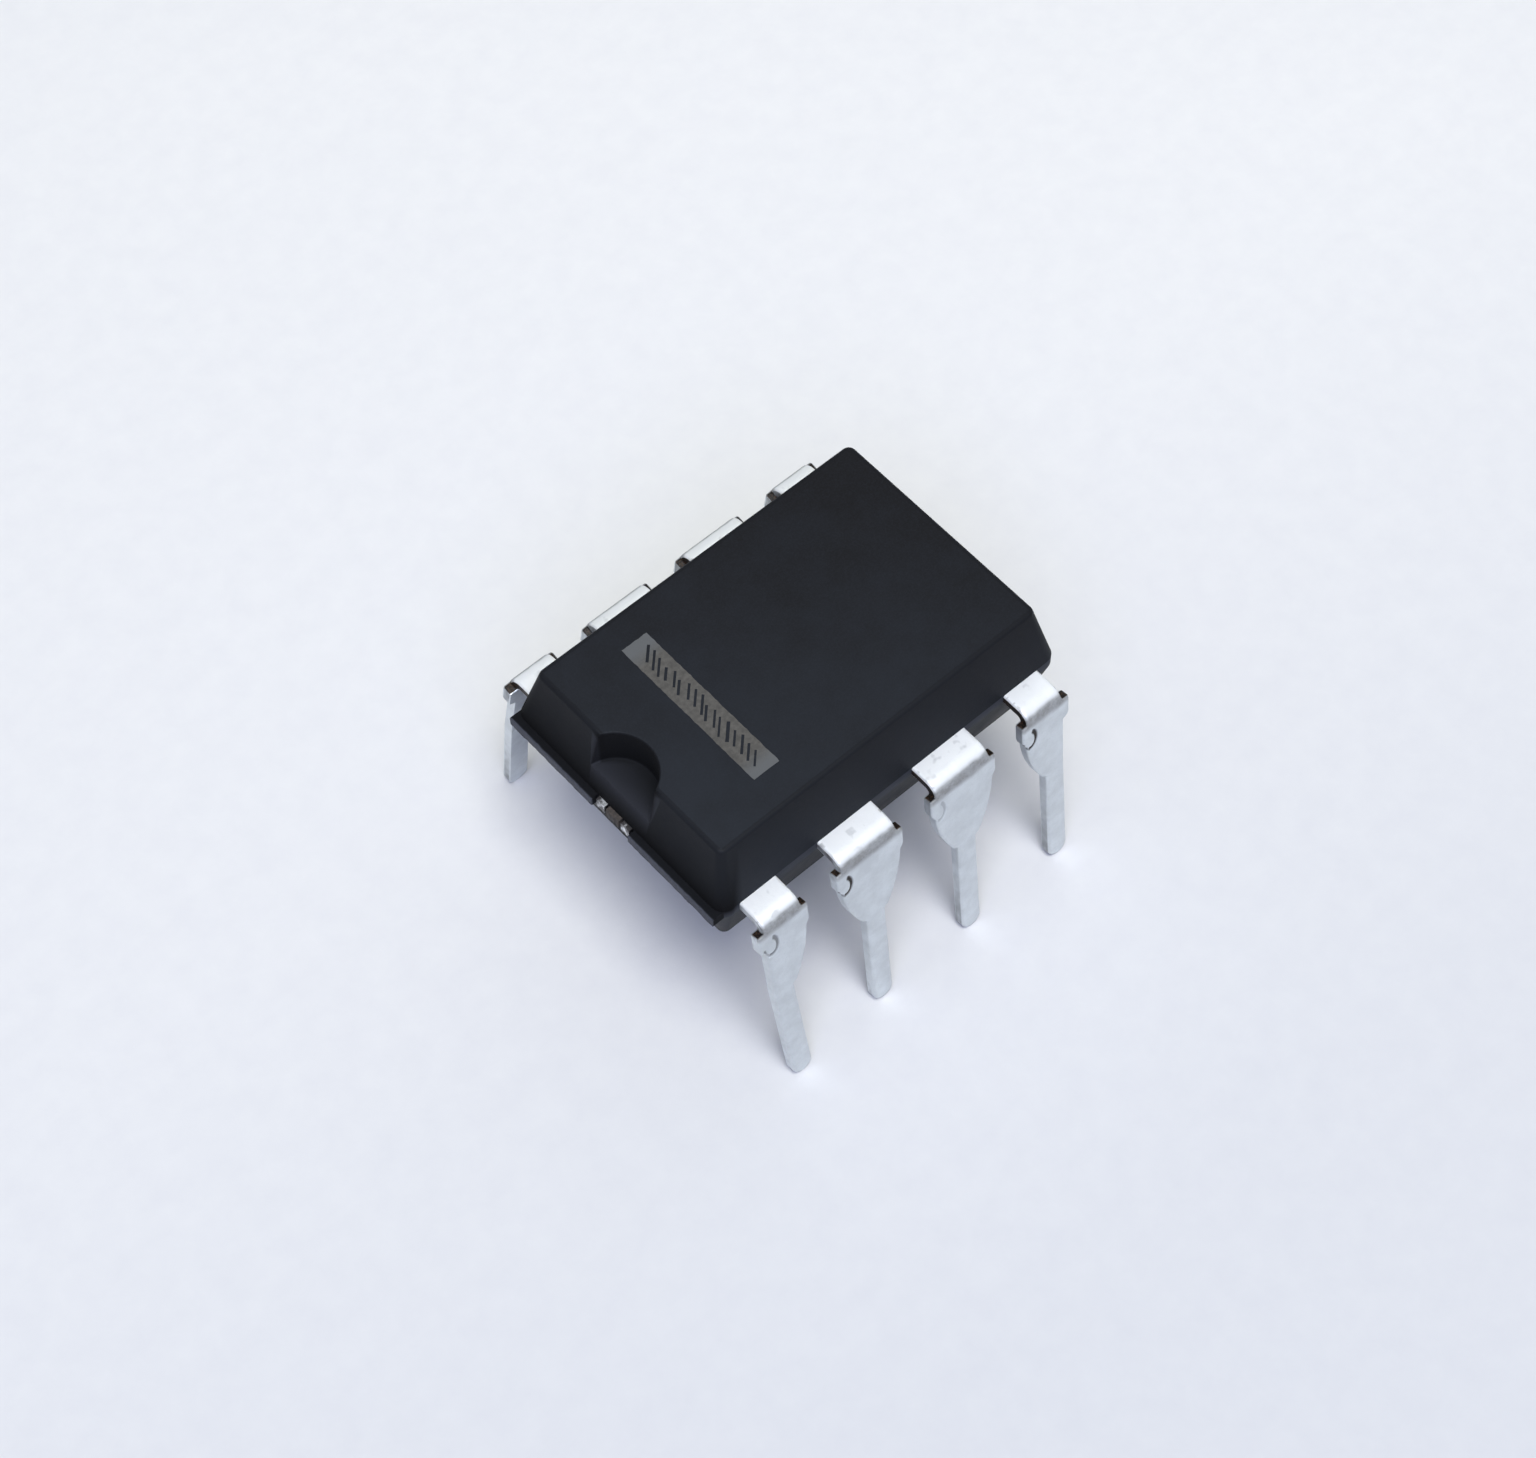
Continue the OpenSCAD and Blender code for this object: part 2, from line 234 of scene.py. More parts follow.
# Materials
def mould_compound():
    """Black compound with rubbed edges, a painted sheen paler towards the notched near corner,
    painted reflections and painted shade.
    """
    m = Material("mould_compound")
    pit = m.attribute("pit")
    cloud = m.noise(0.9)
    # Painted sheen: the face is painted paler towards the notched near corner
    slope = m.math("ADD", m.math("MULTIPLY", m.axis(0), -90), m.math("MULTIPLY", m.axis(1), -110))
    painted_sheen = m.math("ADD", slope, m.spread(cloud, -0.2, 0.2))
    face = m.mix(m.span(painted_sheen, -0.5, 0.7, 0, 1), srgb(17, 17, 19), srgb(35, 38, 43))
    face = m.mix(m.span(m.noise(28, 2, 0.7), 0.4, 0.75, 0, 0.25), face, srgb(42, 45, 52))
    face = m.mix(m.math("MULTIPLY", m.attribute("edge"), 0.6), face, srgb(13, 14, 18))
    # Painted reflection on the pale bands
    face = m.mix(m.attribute("land"), face, srgb(68, 70, 78))
    # Painted shade in the notch, in the band over the flash and on the flash ledge
    face = m.mix(pit, face, srgb(8, 8, 10))
    m.set(colour=face, metal=0.0, level=0.11)
    m.set(rough=m.math("ADD", m.spread(cloud, 0.5, 0.62), m.math("MULTIPLY", pit, 0.3)))
    m.bump((m.noise(60, 2), 0.002), (m.noise(9), 0.003))
    return m.mat


def tin():
    """Tin plate: clouded blades, smudged shoulders with a painted highlight, bends dull from forming
    and darkened by painted shade, and dirt on cut metal with painted shade on the shoulders' side
    walls.
    """
    m = Material("tinned_lead")
    bare_and_shade, flat = m.attribute("bare_and_shade"), m.attribute("flat")
    blot, fine = m.noise(2.6, 4), m.noise(26, 3, 0.65)
    colour = m.mix(m.span(blot, 0.35, 0.65, 0, 1), srgb(203, 208, 211), srgb(217, 222, 225))
    colour = m.mix(m.span(fine, 0.55, 0.8, 0, 0.5), colour, srgb(188, 192, 199))
    # Bends: dulled by forming, and darkened further as painted shade
    creases = m.span(m.noise(7, 4, 0.7), 0.35, 0.6, 0.75, 1.0)
    bent = m.math("MULTIPLY", m.attribute("bent"), creases)
    colour = m.mix(bent, colour, srgb(140, 140, 139))
    # Painted highlight: the shoulder's flat is painted near white
    colour = m.mix(flat, colour, srgb(234, 235, 234))
    smudge = m.math("MULTIPLY", flat, m.span(m.noise(3.1, 2, 0.5), 0.62, 0.7, 0, 0.35))
    colour = m.mix(smudge, colour, srgb(150, 152, 154))
    # Dark cut metal on stubs and tips, and painted shade on the shoulders' side walls
    dirt = m.mix(m.span(fine, 0.45, 0.62, 0, 1), srgb(12, 11, 11), srgb(58, 42, 30))
    colour = m.mix(m.span(bare_and_shade, 0.1, 0.6, 0, 1), colour, dirt)
    clean_and_unshaded = m.span(bare_and_shade, 0, 0.6, 1.0, 0.0)
    # Less metal on the bends and the flat, so the dull tone and the painted highlight show as plain
    # colour
    metal_kept = m.span(m.math("MAXIMUM", flat, bent), 0, 1, 1.0, 0.22)
    m.set(colour=colour, metal=m.math("MULTIPLY", clean_and_unshaded, metal_kept), level=0.2)
    m.set(rough=m.math("ADD", m.spread(blot, 0.42, 0.52), m.math("MULTIPLY", flat, -0.14)))
    m.bump((m.noise(14), 0.004), (m.noise(60, 2), 0.0012))
    return m.mat


def leadframe_alloy():
    """Copper inside the moulding, and grey cut metal where the tie bar shows at the two ends."""
    m = Material("leadframe_alloy")
    notched = m.span(m.axis(0), (NOTCH_END + 0.03) * MM, (NOTCH_END + 0.05) * MM, 1, 0)
    sawn = m.span(m.axis(0), (PLAIN_END - 0.05) * MM, (PLAIN_END - 0.04) * MM, 0, 1)
    streak = m.noise(6)
    copper = m.mix(m.spread(streak, 0, 1), srgb(196, 124, 86), srgb(216, 146, 104))
    cut = m.mix(m.span(m.noise(5), 0.46, 0.6, 0, 1), srgb(80, 78, 80), srgb(226, 228, 232))
    m.set(colour=m.mix(m.math("MAXIMUM", notched, sawn), copper, cut), metal=1.0)
    m.set(rough=m.spread(streak, 0.28, 0.4))
    m.bump((streak, 0.003))
    return m.mat


def plain(name, low, high, metal, rough, per_mm, depth):
    """A material of two close colours, with one noise for colour, roughness and bump."""
    m = Material(name)
    n = m.noise(per_mm)
    m.set(colour=m.mix(m.spread(n, 0, 1), low, high), metal=metal)
    m.set(rough=m.spread(n, rough, rough + 0.1))
    m.bump((n, depth))
    return m.mat


def laser_mark():
    """Burnt compound, a little paler at the bar's two ends."""
    m = Material("laser_mark")
    n = m.noise(9)
    middle = m.mix(m.spread(n, 0, 1), srgb(74, 72, 68), srgb(93, 90, 85))
    end = m.span(m.math("ABSOLUTE", m.axis(1)), 1.45 * MM, 1.8 * MM, 0, 1)
    m.set(colour=m.mix(end, middle, srgb(93, 94, 94)), metal=0.0, rough=0.8, level=0.2)
    m.bump((n, 0.003))
    return m.mat


COMPOUND = mould_compound()
TIN = tin()
ALLOY = leadframe_alloy()
ADHESIVE = plain("die_adhesive", srgb(178, 178, 172), srgb(206, 206, 200), 0.0, 0.5, 8, 0.004)
SILICON = plain("silicon", srgb(84, 88, 104), srgb(96, 100, 116), 0.3, 0.15, 5, 0.0005)
GOLD = plain("bond_gold", srgb(236, 190, 92), srgb(246, 208, 120), 1.0, 0.2, 20, 0.0005)
GATE = plain("broken_gate", srgb(30, 26, 25), srgb(66, 58, 52), 0.0, 0.7, 14, 0.01)
MARK = laser_mark()


# Mesh helpers
def link_object(name, data):
    obj = bpy.data.objects.new(name, data)
    bpy.context.scene.collection.objects.link(obj)
    return obj


def raw(name, verts, faces):
    """An object from millimetre points, as it is."""
    mesh = bpy.data.meshes.new(name)
    mesh.from_pydata([tuple(c * MM for c in v) for v in verts], [], faces)
    return link_object(name, mesh)


def stack(name, rings):
    """A solid from closed rings of points, one above the other, with flat ends."""
    n = len(rings[0])
    verts = [point for ring in rings for point in ring]
    faces = []
    for start in range(0, len(verts) - n, n):
        for k in range(n):
            a, b = start + k, start + (k + 1) % n
            faces.append((a, b, b + n, a + n))
    faces.append(tuple(range(n))[::-1])
    faces.append(tuple(range(len(verts) - n, len(verts))))
    obj = raw(name, verts, faces)
    bm = bmesh.new()
    bm.from_mesh(obj.data)
    bmesh.ops.recalc_face_normals(bm, faces=bm.faces)
    bm.to_mesh(obj.data)
    bm.free()
    return obj


def lathe(name, profile, cx, segments):
    """A turned solid round an upright axis at y = 0, from (radius, height) pairs."""
    turns = [2 * math.pi * k / segments for k in range(segments)]
    rings = [[(cx + r * math.cos(a), r * math.sin(a), z) for a in turns] for r, z in profile]
    return stack(name, rings)


def set_attribute(obj, key, values):
    a = obj.data.attributes.new(key, "FLOAT", "POINT")
    a.data.foreach_set("value", np.asarray(values, np.float32))


def finish_mesh(obj, material, slot, smooth_angle=32):
    """Smooths the faces between sharp edges, and seats the piece on the chip's one body."""
    bm = bmesh.new()
    bm.from_mesh(obj.data)
    bmesh.ops.recalc_face_normals(bm, faces=bm.faces)
    for f in bm.faces:
        f.smooth = True
    for e in bm.edges:
        e.smooth = len(e.link_faces) == 2 and e.calc_face_angle(0) < math.radians(smooth_angle)
    bm.to_mesh(obj.data)
    bm.free()
    obj.data.materials.clear()
    obj.data.materials.append(material)
    weighted = obj.modifiers.new("weighted", "WEIGHTED_NORMAL")
    weighted.keep_sharp = True
    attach(obj, "root")


def make(name, verts, faces, material, slot, smooth_angle=32, **attributes):
    """A finished piece from millimetre points, with values for each point by name."""
    obj = raw(name, verts, faces)
    finish_mesh(obj, material, slot, smooth_angle)
    for key, values in attributes.items():
        set_attribute(obj, key, values)
    return obj


def bake_modifiers(obj):
    """Applies the object's modifiers to its mesh."""
    dg = bpy.context.evaluated_depsgraph_get()
    mesh = bpy.data.meshes.new_from_object(obj.evaluated_get(dg))
    obj.modifiers.clear()
    obj.data = mesh


def wobble(x, y, z, per_mm, seed=0.0):
    """Smooth noise from -1 to 1 at a point in millimetres."""
    return noise.noise(Vector((x * per_mm + seed, y * per_mm - seed, z * per_mm + 2 * seed)))


def densify(points, step, coarse=0.3, coarse_below=-0.5):
    """Closed polygon with extra points, at most step apart; carries extra values along.

    Where both ends of a side have a second value under coarse_below, it gets fewer points.
    """
    out = []
    for a, b in zip(points, points[1:] + points[:1]):
        apart = step if max(a[1], b[1]) > coarse_below else coarse
        n = max(1, math.ceil(math.hypot(b[0] - a[0], b[1] - a[1]) / apart))
        out += [tuple(a[k] + (b[k] - a[k]) * j / n for k in range(len(a))) for j in range(n)]
    return out


def distance_to(points, poly):
    """Distance of each point from a closed polygon's line."""
    p = np.asarray(points, float)[:, None, :]
    a = np.asarray(poly, float)[None, :, :2]
    ab = np.roll(a, -1, axis=1) - a
    t = np.clip(((p - a) * ab).sum(-1) / (ab * ab).sum(-1), 0, 1)
    return np.linalg.norm(p - a - t[..., None] * ab, axis=-1).min(1)


def inside_of(points, poly):
    """Whether each point lies inside a closed polygon."""
    p = np.asarray(points, float)
    a = np.asarray(poly, float)[:, :2]
    b = np.roll(a, -1, axis=0)
    hit = np.zeros(len(p), bool)
    for (x0, y0), (x1, y1) in zip(a, b):
        crosses = (y0 > p[:, 1]) != (y1 > p[:, 1])
        if y1 != y0:
            hit ^= crosses & (p[:, 0] < x0 + (p[:, 1] - y0) * (x1 - x0) / (y1 - y0))
    return hit


# Moulded body
def body_ring(half_x, half_y, r, z):
    """A rounded rectangle round the body's axis, with points all along its sides."""
    arc_steps, long_steps, short_steps = 10, 30, 20
    pts = []
    corners = ((1, 1, 0), (-1, 1, 90), (-1, -1, 180), (1, -1, 270))
    for k, (sx, sy, start) in enumerate(corners):
        cx, cy = sx * (half_x - r), sy * (half_y - r)
        arc = [math.radians(start + 90 * j / arc_steps) for j in range(arc_steps + 1)]
        pts += [(cx + r * math.cos(a), cy + r * math.sin(a)) for a in arc]
        nx, ny = corners[(k + 1) % 4][:2]
        end = arc[-1]
        x1, y1 = nx * (half_x - r) + r * math.cos(end), ny * (half_y - r) + r * math.sin(end)
        x0, y0 = pts[-1]
        n = long_steps if k % 2 == 0 else short_steps
        pts += [(x0 + (x1 - x0) * j / n, y0 + (y1 - y0) * j / n) for j in range(1, n)]
    return [(SHIFT + x, y, z) for x, y in pts]


def half_levels():
    """Inset in x and in y, corner radius and height over the frame, from parting line to face."""
    base = FRAME_TOP - FRAME_Z
    levels = [(0, 0, CORNER_R, base), (LIP, LIP, CORNER_R, base + LIP_H)]
    for a in (13, 27, 41, 55, 68, 80, 90):
        inset = EDGE_R - EDGE_R * math.cos(math.radians(a))
        height = BODY_H / 2 - EDGE_R + EDGE_R * math.sin(math.radians(a))
        levels.append((END_DRAFT + inset, SIDE_DRAFT + inset, TOP_CORNER_R - inset, height))
    flat = EDGE_R + FLAT_IN
    levels.append((END_DRAFT + flat, SIDE_DRAFT + flat, FLAT_R, BODY_H / 2))
    return levels


def notch_cutter():
    """The notch's cylinder, rounded at its floor and flared at the top face."""
    r, e, floor = NOTCH_R, NOTCH_EDGE, BODY_TOP - NOTCH_DEPTH
    arc = [math.radians(a) for a in (0, 22.5, 45, 67.5, 90)]
    foot = [(r - e + e * math.sin(a), floor + e - e * math.cos(a)) for a in arc]
    flare = [(r + e - e * math.cos(a), BODY_TOP - e + e * math.sin(a)) for a in arc]
    return lathe("notch_cutter", foot + flare + [(r + e, BODY_TOP + 1)], NOTCH_X, 96)


def ejector_cutter(x):
    r, e, floor = EJECTOR_D / 2, EJECTOR_EDGE, BODY_Z + EJECTOR_DEPTH
    return lathe("ejector_cutter", [(r, BODY_Z - 1), (r, floor - e), (r - e, floor)], SHIFT + x, 64)


def pocket_cutter(side):
    """A cutter that lets one prong of the tie bar show in the plain end."""
    x0, x1 = PLAIN_END - POCKET_DEPTH, PLAIN_END + 2 * POCKET_DEPTH
    y0, y1 = side * (TIE_SLOT / 2 - POCKET_GAP), side * (TIE_W / 2 + POCKET_GAP)
    corners = ((x0, y0), (x1, y0), (x1, y1), (x0, y1))
    heights = (FRAME_BOTTOM - POCKET_GAP, FRAME_TOP + POCKET_GAP)
    return stack("pocket_cutter", [[(x, y, z) for x, y in corners] for z in heights])


def carve(body, cutters):
    """Takes the cutters out of the body, and then rounds its sharp edges."""
    for c in cutters:
        cut = body.modifiers.new("cut", "BOOLEAN")
        cut.operation, cut.object, cut.solver = "DIFFERENCE", c, "EXACT"
    bake_modifiers(body)
    for c in cutters:
        bpy.data.objects.remove(c)
    bevel = body.modifiers.new("bevel", "BEVEL")
    bevel.width, bevel.segments = BEVEL * MM, 2
    bevel.limit_method, bevel.angle_limit = "ANGLE", math.radians(42)
    bake_modifiers(body)


def body_marks(x, y, z):
    """How much a point lies on a rounded edge, in a pale painted reflection and in dark painted
    shade, from 0 to 1.
    """
    end_inset = BODY_L / 2 - END_DRAFT - abs(x - SHIFT)
    side_inset = BODY_W / 2 - SIDE_DRAFT - abs(y)
    inset, height = min(end_inset, side_inset), abs(z - FRAME_Z)
    edge = height > BODY_H / 2 - RUBBED_H and inset < RUBBED_IN
    seam = height < LEAD_T / 2 + SEAM_H and inset < 0
    end_x = NOTCH_END + END_DRAFT
    upper_end = x < end_x - REACH and FRAME_TOP + PALE_FROM < z < BODY_TOP - PALE_TO
    in_notch = math.hypot(x - NOTCH_X, y) < NOTCH_R + REACH
    wall = in_notch and BODY_TOP - NOTCH_DEPTH + REACH < z < BODY_TOP - WALL_TO
    low_band = x < end_x and FRAME_TOP - REACH / 2 < z < FRAME_TOP + DARK_TO
    # Painted reflection on the parting line and the upper end; painted shade on the notch floor and
    # wall and in the band over the flash
    land = 0.6 if seam else 1.0 if upper_end else 0.0
    pit = 0.85 if wall else 1.0 if low_band else 0.65 if in_notch else 0.0
    return float(edge), land, pit


def moulded_body():
    upper = half_levels()
    levels = [(a, b, r, -z) for a, b, r, z in reversed(upper)] + upper
    rings = [body_ring(BODY_L / 2 - a, BODY_W / 2 - b, r, FRAME_Z + z) for a, b, r, z in levels]
    body = stack("moulded_body", rings)
    ejectors = [ejector_cutter(x) for x in (-EJECTOR_X, EJECTOR_X)]
    carve(body, [notch_cutter(), *ejectors, pocket_cutter(-1), pocket_cutter(1)])
    finish_mesh(body, COMPOUND, "mould_compound")
    marks = [body_marks(*(c / MM for c in v.co)) for v in body.data.vertices]
    for key, values in zip(("edge", "land", "pit"), zip(*marks)):
        set_attribute(body, key, values)
    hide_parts("body")


# Mould flash and broken gate
# Columns of points across a ledge: share of the way in, and how far its two faces close up there
LEDGE = ((0, 0.018), (0.05, 0.004), (0.15, 0.0), (0.5, 0.0), (1, 0.0))
LEDGE_IN = 0.12


def ragged_x(y, z, out, rough):
    """Where a ledge's broken outer edge lies."""
    coarse = 0.5 + 0.5 * wobble(0, y, z, 6, 3)
    fine = 0.5 + 0.5 * wobble(1, y, 0.4 * z, 17, 5)
    return NOTCH_END - out + rough * coarse + rough * 0.7 * fine


def ledge_points(y0, y1, n, out, rough):
    """Rows of points along y, first on the lower face and then on the upper one."""
    root = NOTCH_END + LEDGE_IN
    verts = []
    for closing, z in ((1, FRAME_BOTTOM), (-1, FRAME_TOP)):
        for k in range(n + 1):
            y = y0 + (y1 - y0) * k / n
            edge = ragged_x(y, z, out, rough)
            for share, close in LEDGE:
                x = edge + (root - edge) * share
                lift = 0.008 * wobble(x, y, 0, 7, 9) if share < 1 else 0
                verts.append((x, y, z + closing * close + lift))
    return verts


def ledge_faces(n):
    """Faces of the lower and upper side, of the outer edge and root, and of both ends."""
    cols = len(LEDGE)
    w = (n + 1) * cols
    faces = []
    for k in range(n):
        for a in range(k * cols, k * cols + cols - 1):
            faces.append((a, a + 1, a + cols + 1, a + cols))
            faces.append((w + a, w + a + cols, w + a + cols + 1, w + a + 1))
        a = k * cols
        faces.append((a, a + cols, w + a + cols, w + a))
        b = a + cols - 1
        faces.append((b, w + b, w + b + cols, b + cols))
    for c in range(cols - 1):
        for a in (c, n * cols + c):
            faces.append((a, a + 1, w + a + 1, w + a))
    return faces


def flash_plate(name, y0, y1, out, material, rough, step=0.06):
    """A thin ledge of mould flash or the broken gate, with a ragged outer edge."""
    n = max(6, int(abs(y1 - y0) / step))
    verts = ledge_points(y0, y1, n, out, rough)
    edge_x = NOTCH_END - out + 1.9 * rough + 0.01
    # Painted reflection along the ragged outer edge, painted shade over the rest of the ledge
    land = [1.0 if x < edge_x else 0.0 for x, y, z in verts]
    pit = [0.8 * (1 - v) for v in land]
    make(name, verts, ledge_faces(n), material, "mould_compound", 40, land=land, pit=pit)


def end_flash():
    prongs = TIE_W / 2 + FLASH_GAP
    flash_plate("end_flash_near", -FLASH_W / 2, -prongs, FLASH_OUT, COMPOUND, 0.02)
    flash_plate("end_flash_far", prongs, FLASH_W / 2, FLASH_OUT, COMPOUND, 0.02)
    half = TIE_SLOT / 2 - FLASH_GAP
    flash_plate("gate_remnant", -half, half, GATE_OUT, GATE, 0.05, 0.03)


# Outline of a lead
class Lead:
    """A lead laid out flat: u runs across it, q along it from the start of its bend.

    It is drawn on the far row with its outer side, if it is a corner lead, at +u.
    """

    def __init__(self, i):
        self.i, self.far = i, i > LEAD_COUNT / 2
        x = PITCH * ((6.5 if self.far else 2.5) - i)
        self.x, self.side = abs(x), 1 if x > 0 else -1
        self.corner = self.x > PITCH
        self.lean = math.radians(LEAN[i - 1])
        splay = math.radians(SPLAY[i - 1])
        self.root = (AXIS_Z - SEAT_Z) / math.cos(splay)
        self.length = (AXIS_Z + BEND_R * math.sin(splay)) / math.cos(splay)
        self.turn = math.pi / 2 - splay
        self.bend_end = (BEND_R + LEAD_T / 2) * self.turn

    def place(self, u, q, w):
        """Where a point, w above the strip's lower face, stands once pin and strip are bent."""
        pivot = self.bend_end + self.root
        if q > pivot and self.lean:
            across, along = u, q - pivot
            u = across * math.cos(self.lean) - along * math.sin(self.lean)
            q = pivot + across * math.sin(self.lean) + along * math.cos(self.lean)
        rho = BEND_R + w
        if q <= 0:
            y, z = AXIS_Y + q, AXIS_Z + rho
        else:
            a = self.turn * min(q / self.bend_end, 1)
            straight = max(0, q - self.bend_end)
            y = AXIS_Y + rho * math.sin(a) + straight * math.cos(a)
            z = AXIS_Z + rho * math.cos(a) - straight * math.sin(a)
        x = self.side * (self.x + u)
        return (x, y, z) if self.far else (-x, -y, z)


def finger_points(lead):
    """The hidden finger's outline, as (u, q), from the inner side to the outer side."""
    neck_y, tip_y, tip_x = BODY_W / 2 - NECK_IN, PADDLE_W / 2 + FINGER_GAP, PADDLE_L / 2 + FINGER_GAP
    corner_tip_y = TIE_W / 2 + FINGER_GAP
    if lead.corner:
        pts = [
            (lead.x - CORNER_IN, neck_y - 0.15),
            (tip_x + FINGER_W * 0.7, corner_tip_y + FINGER_W * 0.8),
            (tip_x, corner_tip_y + FINGER_W * 0.8),
            (tip_x, corner_tip_y),
            (tip_x + FINGER_W, corner_tip_y),
            (lead.x + CORNER_OUT, neck_y - 0.35),
        ]
    else:
        inner, outer = lead.x - SHOULDER_W / 2, lead.x + SHOULDER_W / 2
        pts = [(inner, neck_y), (FINGER_IN, tip_y), (FINGER_IN + FINGER_W, tip_y), (outer, neck_y)]
    return [(x - lead.x, y - AXIS_Y) for x, y in pts]


def blade_taper(lead):
    """The arc on which a blade narrows below its stub, and the step to the pin."""
    half, pin, steps = BLADE_W / 2, PIN_W / 2, 12
    run, inset = lead.root - BLADE_DROP, half - ROOT_W / 2
    radius = (run * run + inset * inset) / (2 * inset)
    pts = []
    for k in range(1, steps + 1):
        d = run * k / steps
        if BLADE_DROP + d > STUB_DROP + 0.08:
            narrower = radius - math.sqrt(radius**2 - d * d)
            pts.append((half - narrower, lead.bend_end + BLADE_DROP + d, 0.0))
    root_q = lead.bend_end + lead.root
    return pts + [(pin + 0.04, root_q + 0.03, 0.0), (pin, root_q + 0.08, 0.0)]


def lead_side(lead, outer):
    """Points (u, q) down one side to the pin's tip, each with how dark its cut face is: cut metal,
    and painted shade on the shoulder's side walls.
    """
    half, pin = BLADE_W / 2, PIN_W / 2
    thin = lead.corner and outer
    shoulder = (CORNER_OUT if outer else CORNER_IN) if lead.corner else SHOULDER_W / 2
    stub = pin + CORNER_STUB_OUT if thin else half + STUB_OUT
    stub_q = (BEND_R + LEAD_T / 2) * math.radians(90 - STUB_ANGLE) + SHEAR
    stub_end = lead.bend_end + STUB_DROP
    pts = [
        # The shoulder's side walls, at 0.9, are darkened as painted shade; the stub and the tip are
        # cut metal
        (shoulder, FACE_Q - 0.02, 0.9),
        (shoulder, 0.0, 0.9),
        (shoulder + 0.004, stub_q - SHEAR, 0.9),
        (shoulder + SHEAR, stub_q, 1.0),
        (stub - SHEAR, stub_q + 0.005, 1.0),
        (stub, stub_q + SHEAR, 0.45),
        (stub, stub_end - 4 * SHEAR, 0.3),
        (stub - 0.02, stub_end - SHEAR, 0.2),
        (pin if thin else half, stub_end + 2 * SHEAR, 0.0),
    ]
    pts += [(pin, lead.bend_end + lead.root, 0.0)] if thin else blade_taper(lead)
    centre = lead.bend_end + lead.length - pin
    for a in range(0, 91, 15):
        a = math.radians(a)
        pts.append((pin * math.cos(a), centre + pin * math.sin(a), 0.4))
    return pts


def lead_outline(lead):
    """The closed outline, from the finger down the outer side and up the inner side."""
    finger = [(u, q, 0.0) for u, q in finger_points(lead)]
    inner = [(-u, q, bare_and_shade) for u, q, bare_and_shade in lead_side(lead, False)[:-1]]
    return densify(finger + lead_side(lead, True) + inner[::-1], 0.05)


# Net of points over a lead
def rim_rows(poly):
    """Two rows of points just inside the outline, for the rounded rims."""
    p = np.array([(u, q) for u, q, bare_and_shade in poly])
    tangent = np.roll(p, -1, axis=0) - np.roll(p, 1, axis=0)
    normal = np.stack([-tangent[:, 1], tangent[:, 0]], -1)
    normal /= np.linalg.norm(normal, axis=1)[:, None]
    middle = len(p) // 2
    rows = []
    for inset in RIM_ROWS:
        row = p + normal * inset
        if not inside_of(row[middle : middle + 1], poly)[0]:
            row = p - normal * inset
        rows.append(row)
    points = np.concatenate(rows)
    points = points[inside_of(points, poly)]
    return points[distance_to(points, poly) > RIM_ROWS[0] - 0.0015]


def jittered_grid(lead):
    """A grid over the whole strip, close in the bend and coarse inside the moulding."""
    rng = random.Random(100 + lead.i)
    fine, close, coarse, coarse_below, jitter = 0.06, 0.03, 0.25, -0.45, 0.1
    first_q, first_u, last_u = -2.9, -4.0, 2.0
    points = []
    q = first_q
    while q < lead.bend_end + lead.length:
        across = fine if q > coarse_below else coarse
        along = close if -fine < q < lead.bend_end + fine else across
        u = first_u
        while u < last_u:
            moved_u = u + rng.uniform(-jitter, jitter) * across
            points.append((moved_u, q + rng.uniform(-jitter, jitter) * along))
            u += across
        q += along
    return np.array(points)


def punch_mark(lead):
    """Centre of the round mark that the trimming punch left beside a stub."""
    thin = lead.corner and lead.side > 0
    edge = PIN_W / 2 + CORNER_STUB_OUT if thin else BLADE_W / 2 + STUB_OUT
    inset = CORNER_MARK_IN if thin else MARK_IN
    return np.array([(edge - inset) * lead.side, lead.bend_end + MARK_DROP])


def face_points(lead, poly, mark):
    """The grid's points within the outline, with rings in their place round the punch mark."""
    grid = jittered_grid(lead)
    grid = grid[np.hypot(*((grid - mark) / MARK_R).T) > 1.5]
    turns = [math.radians(a) for a in range(0, 360, 10)]
    rings = [mark + r * MARK_R * (math.cos(a), math.sin(a)) for r in MARK_RINGS for a in turns]
    points = np.concatenate([grid, rings])
    points = points[inside_of(points, poly)]
    return points[distance_to(points, poly) > RIM_TOP + 0.002]


def triangulate(poly, inner):
    """Points and triangles of the outline and the inner points, and each outline point's number."""
    n = len(poly)
    points = np.concatenate([[(u, q) for u, q, bare_and_shade in poly], inner])
    res = delaunay_2d_cdt([Vector(p) for p in points], [], [list(range(n))], 1, MERGE, True)
    pts, tris = np.array([tuple(v) for v in res[0]]), np.array(res[2])
    tris = tris[inside_of(pts[tris].mean(1), poly)].tolist()
    rim = {source: k for k, sources in enumerate(res[3]) for source in sources if source < n}
    return pts, tris, rim


# Relief, wear and painted light of a lead
def rounding(d, r):
    """How high a rim of radius r has risen at each distance from the outline."""
    return np.sqrt(np.maximum(0, r**2 - np.maximum(0, r - d) ** 2))


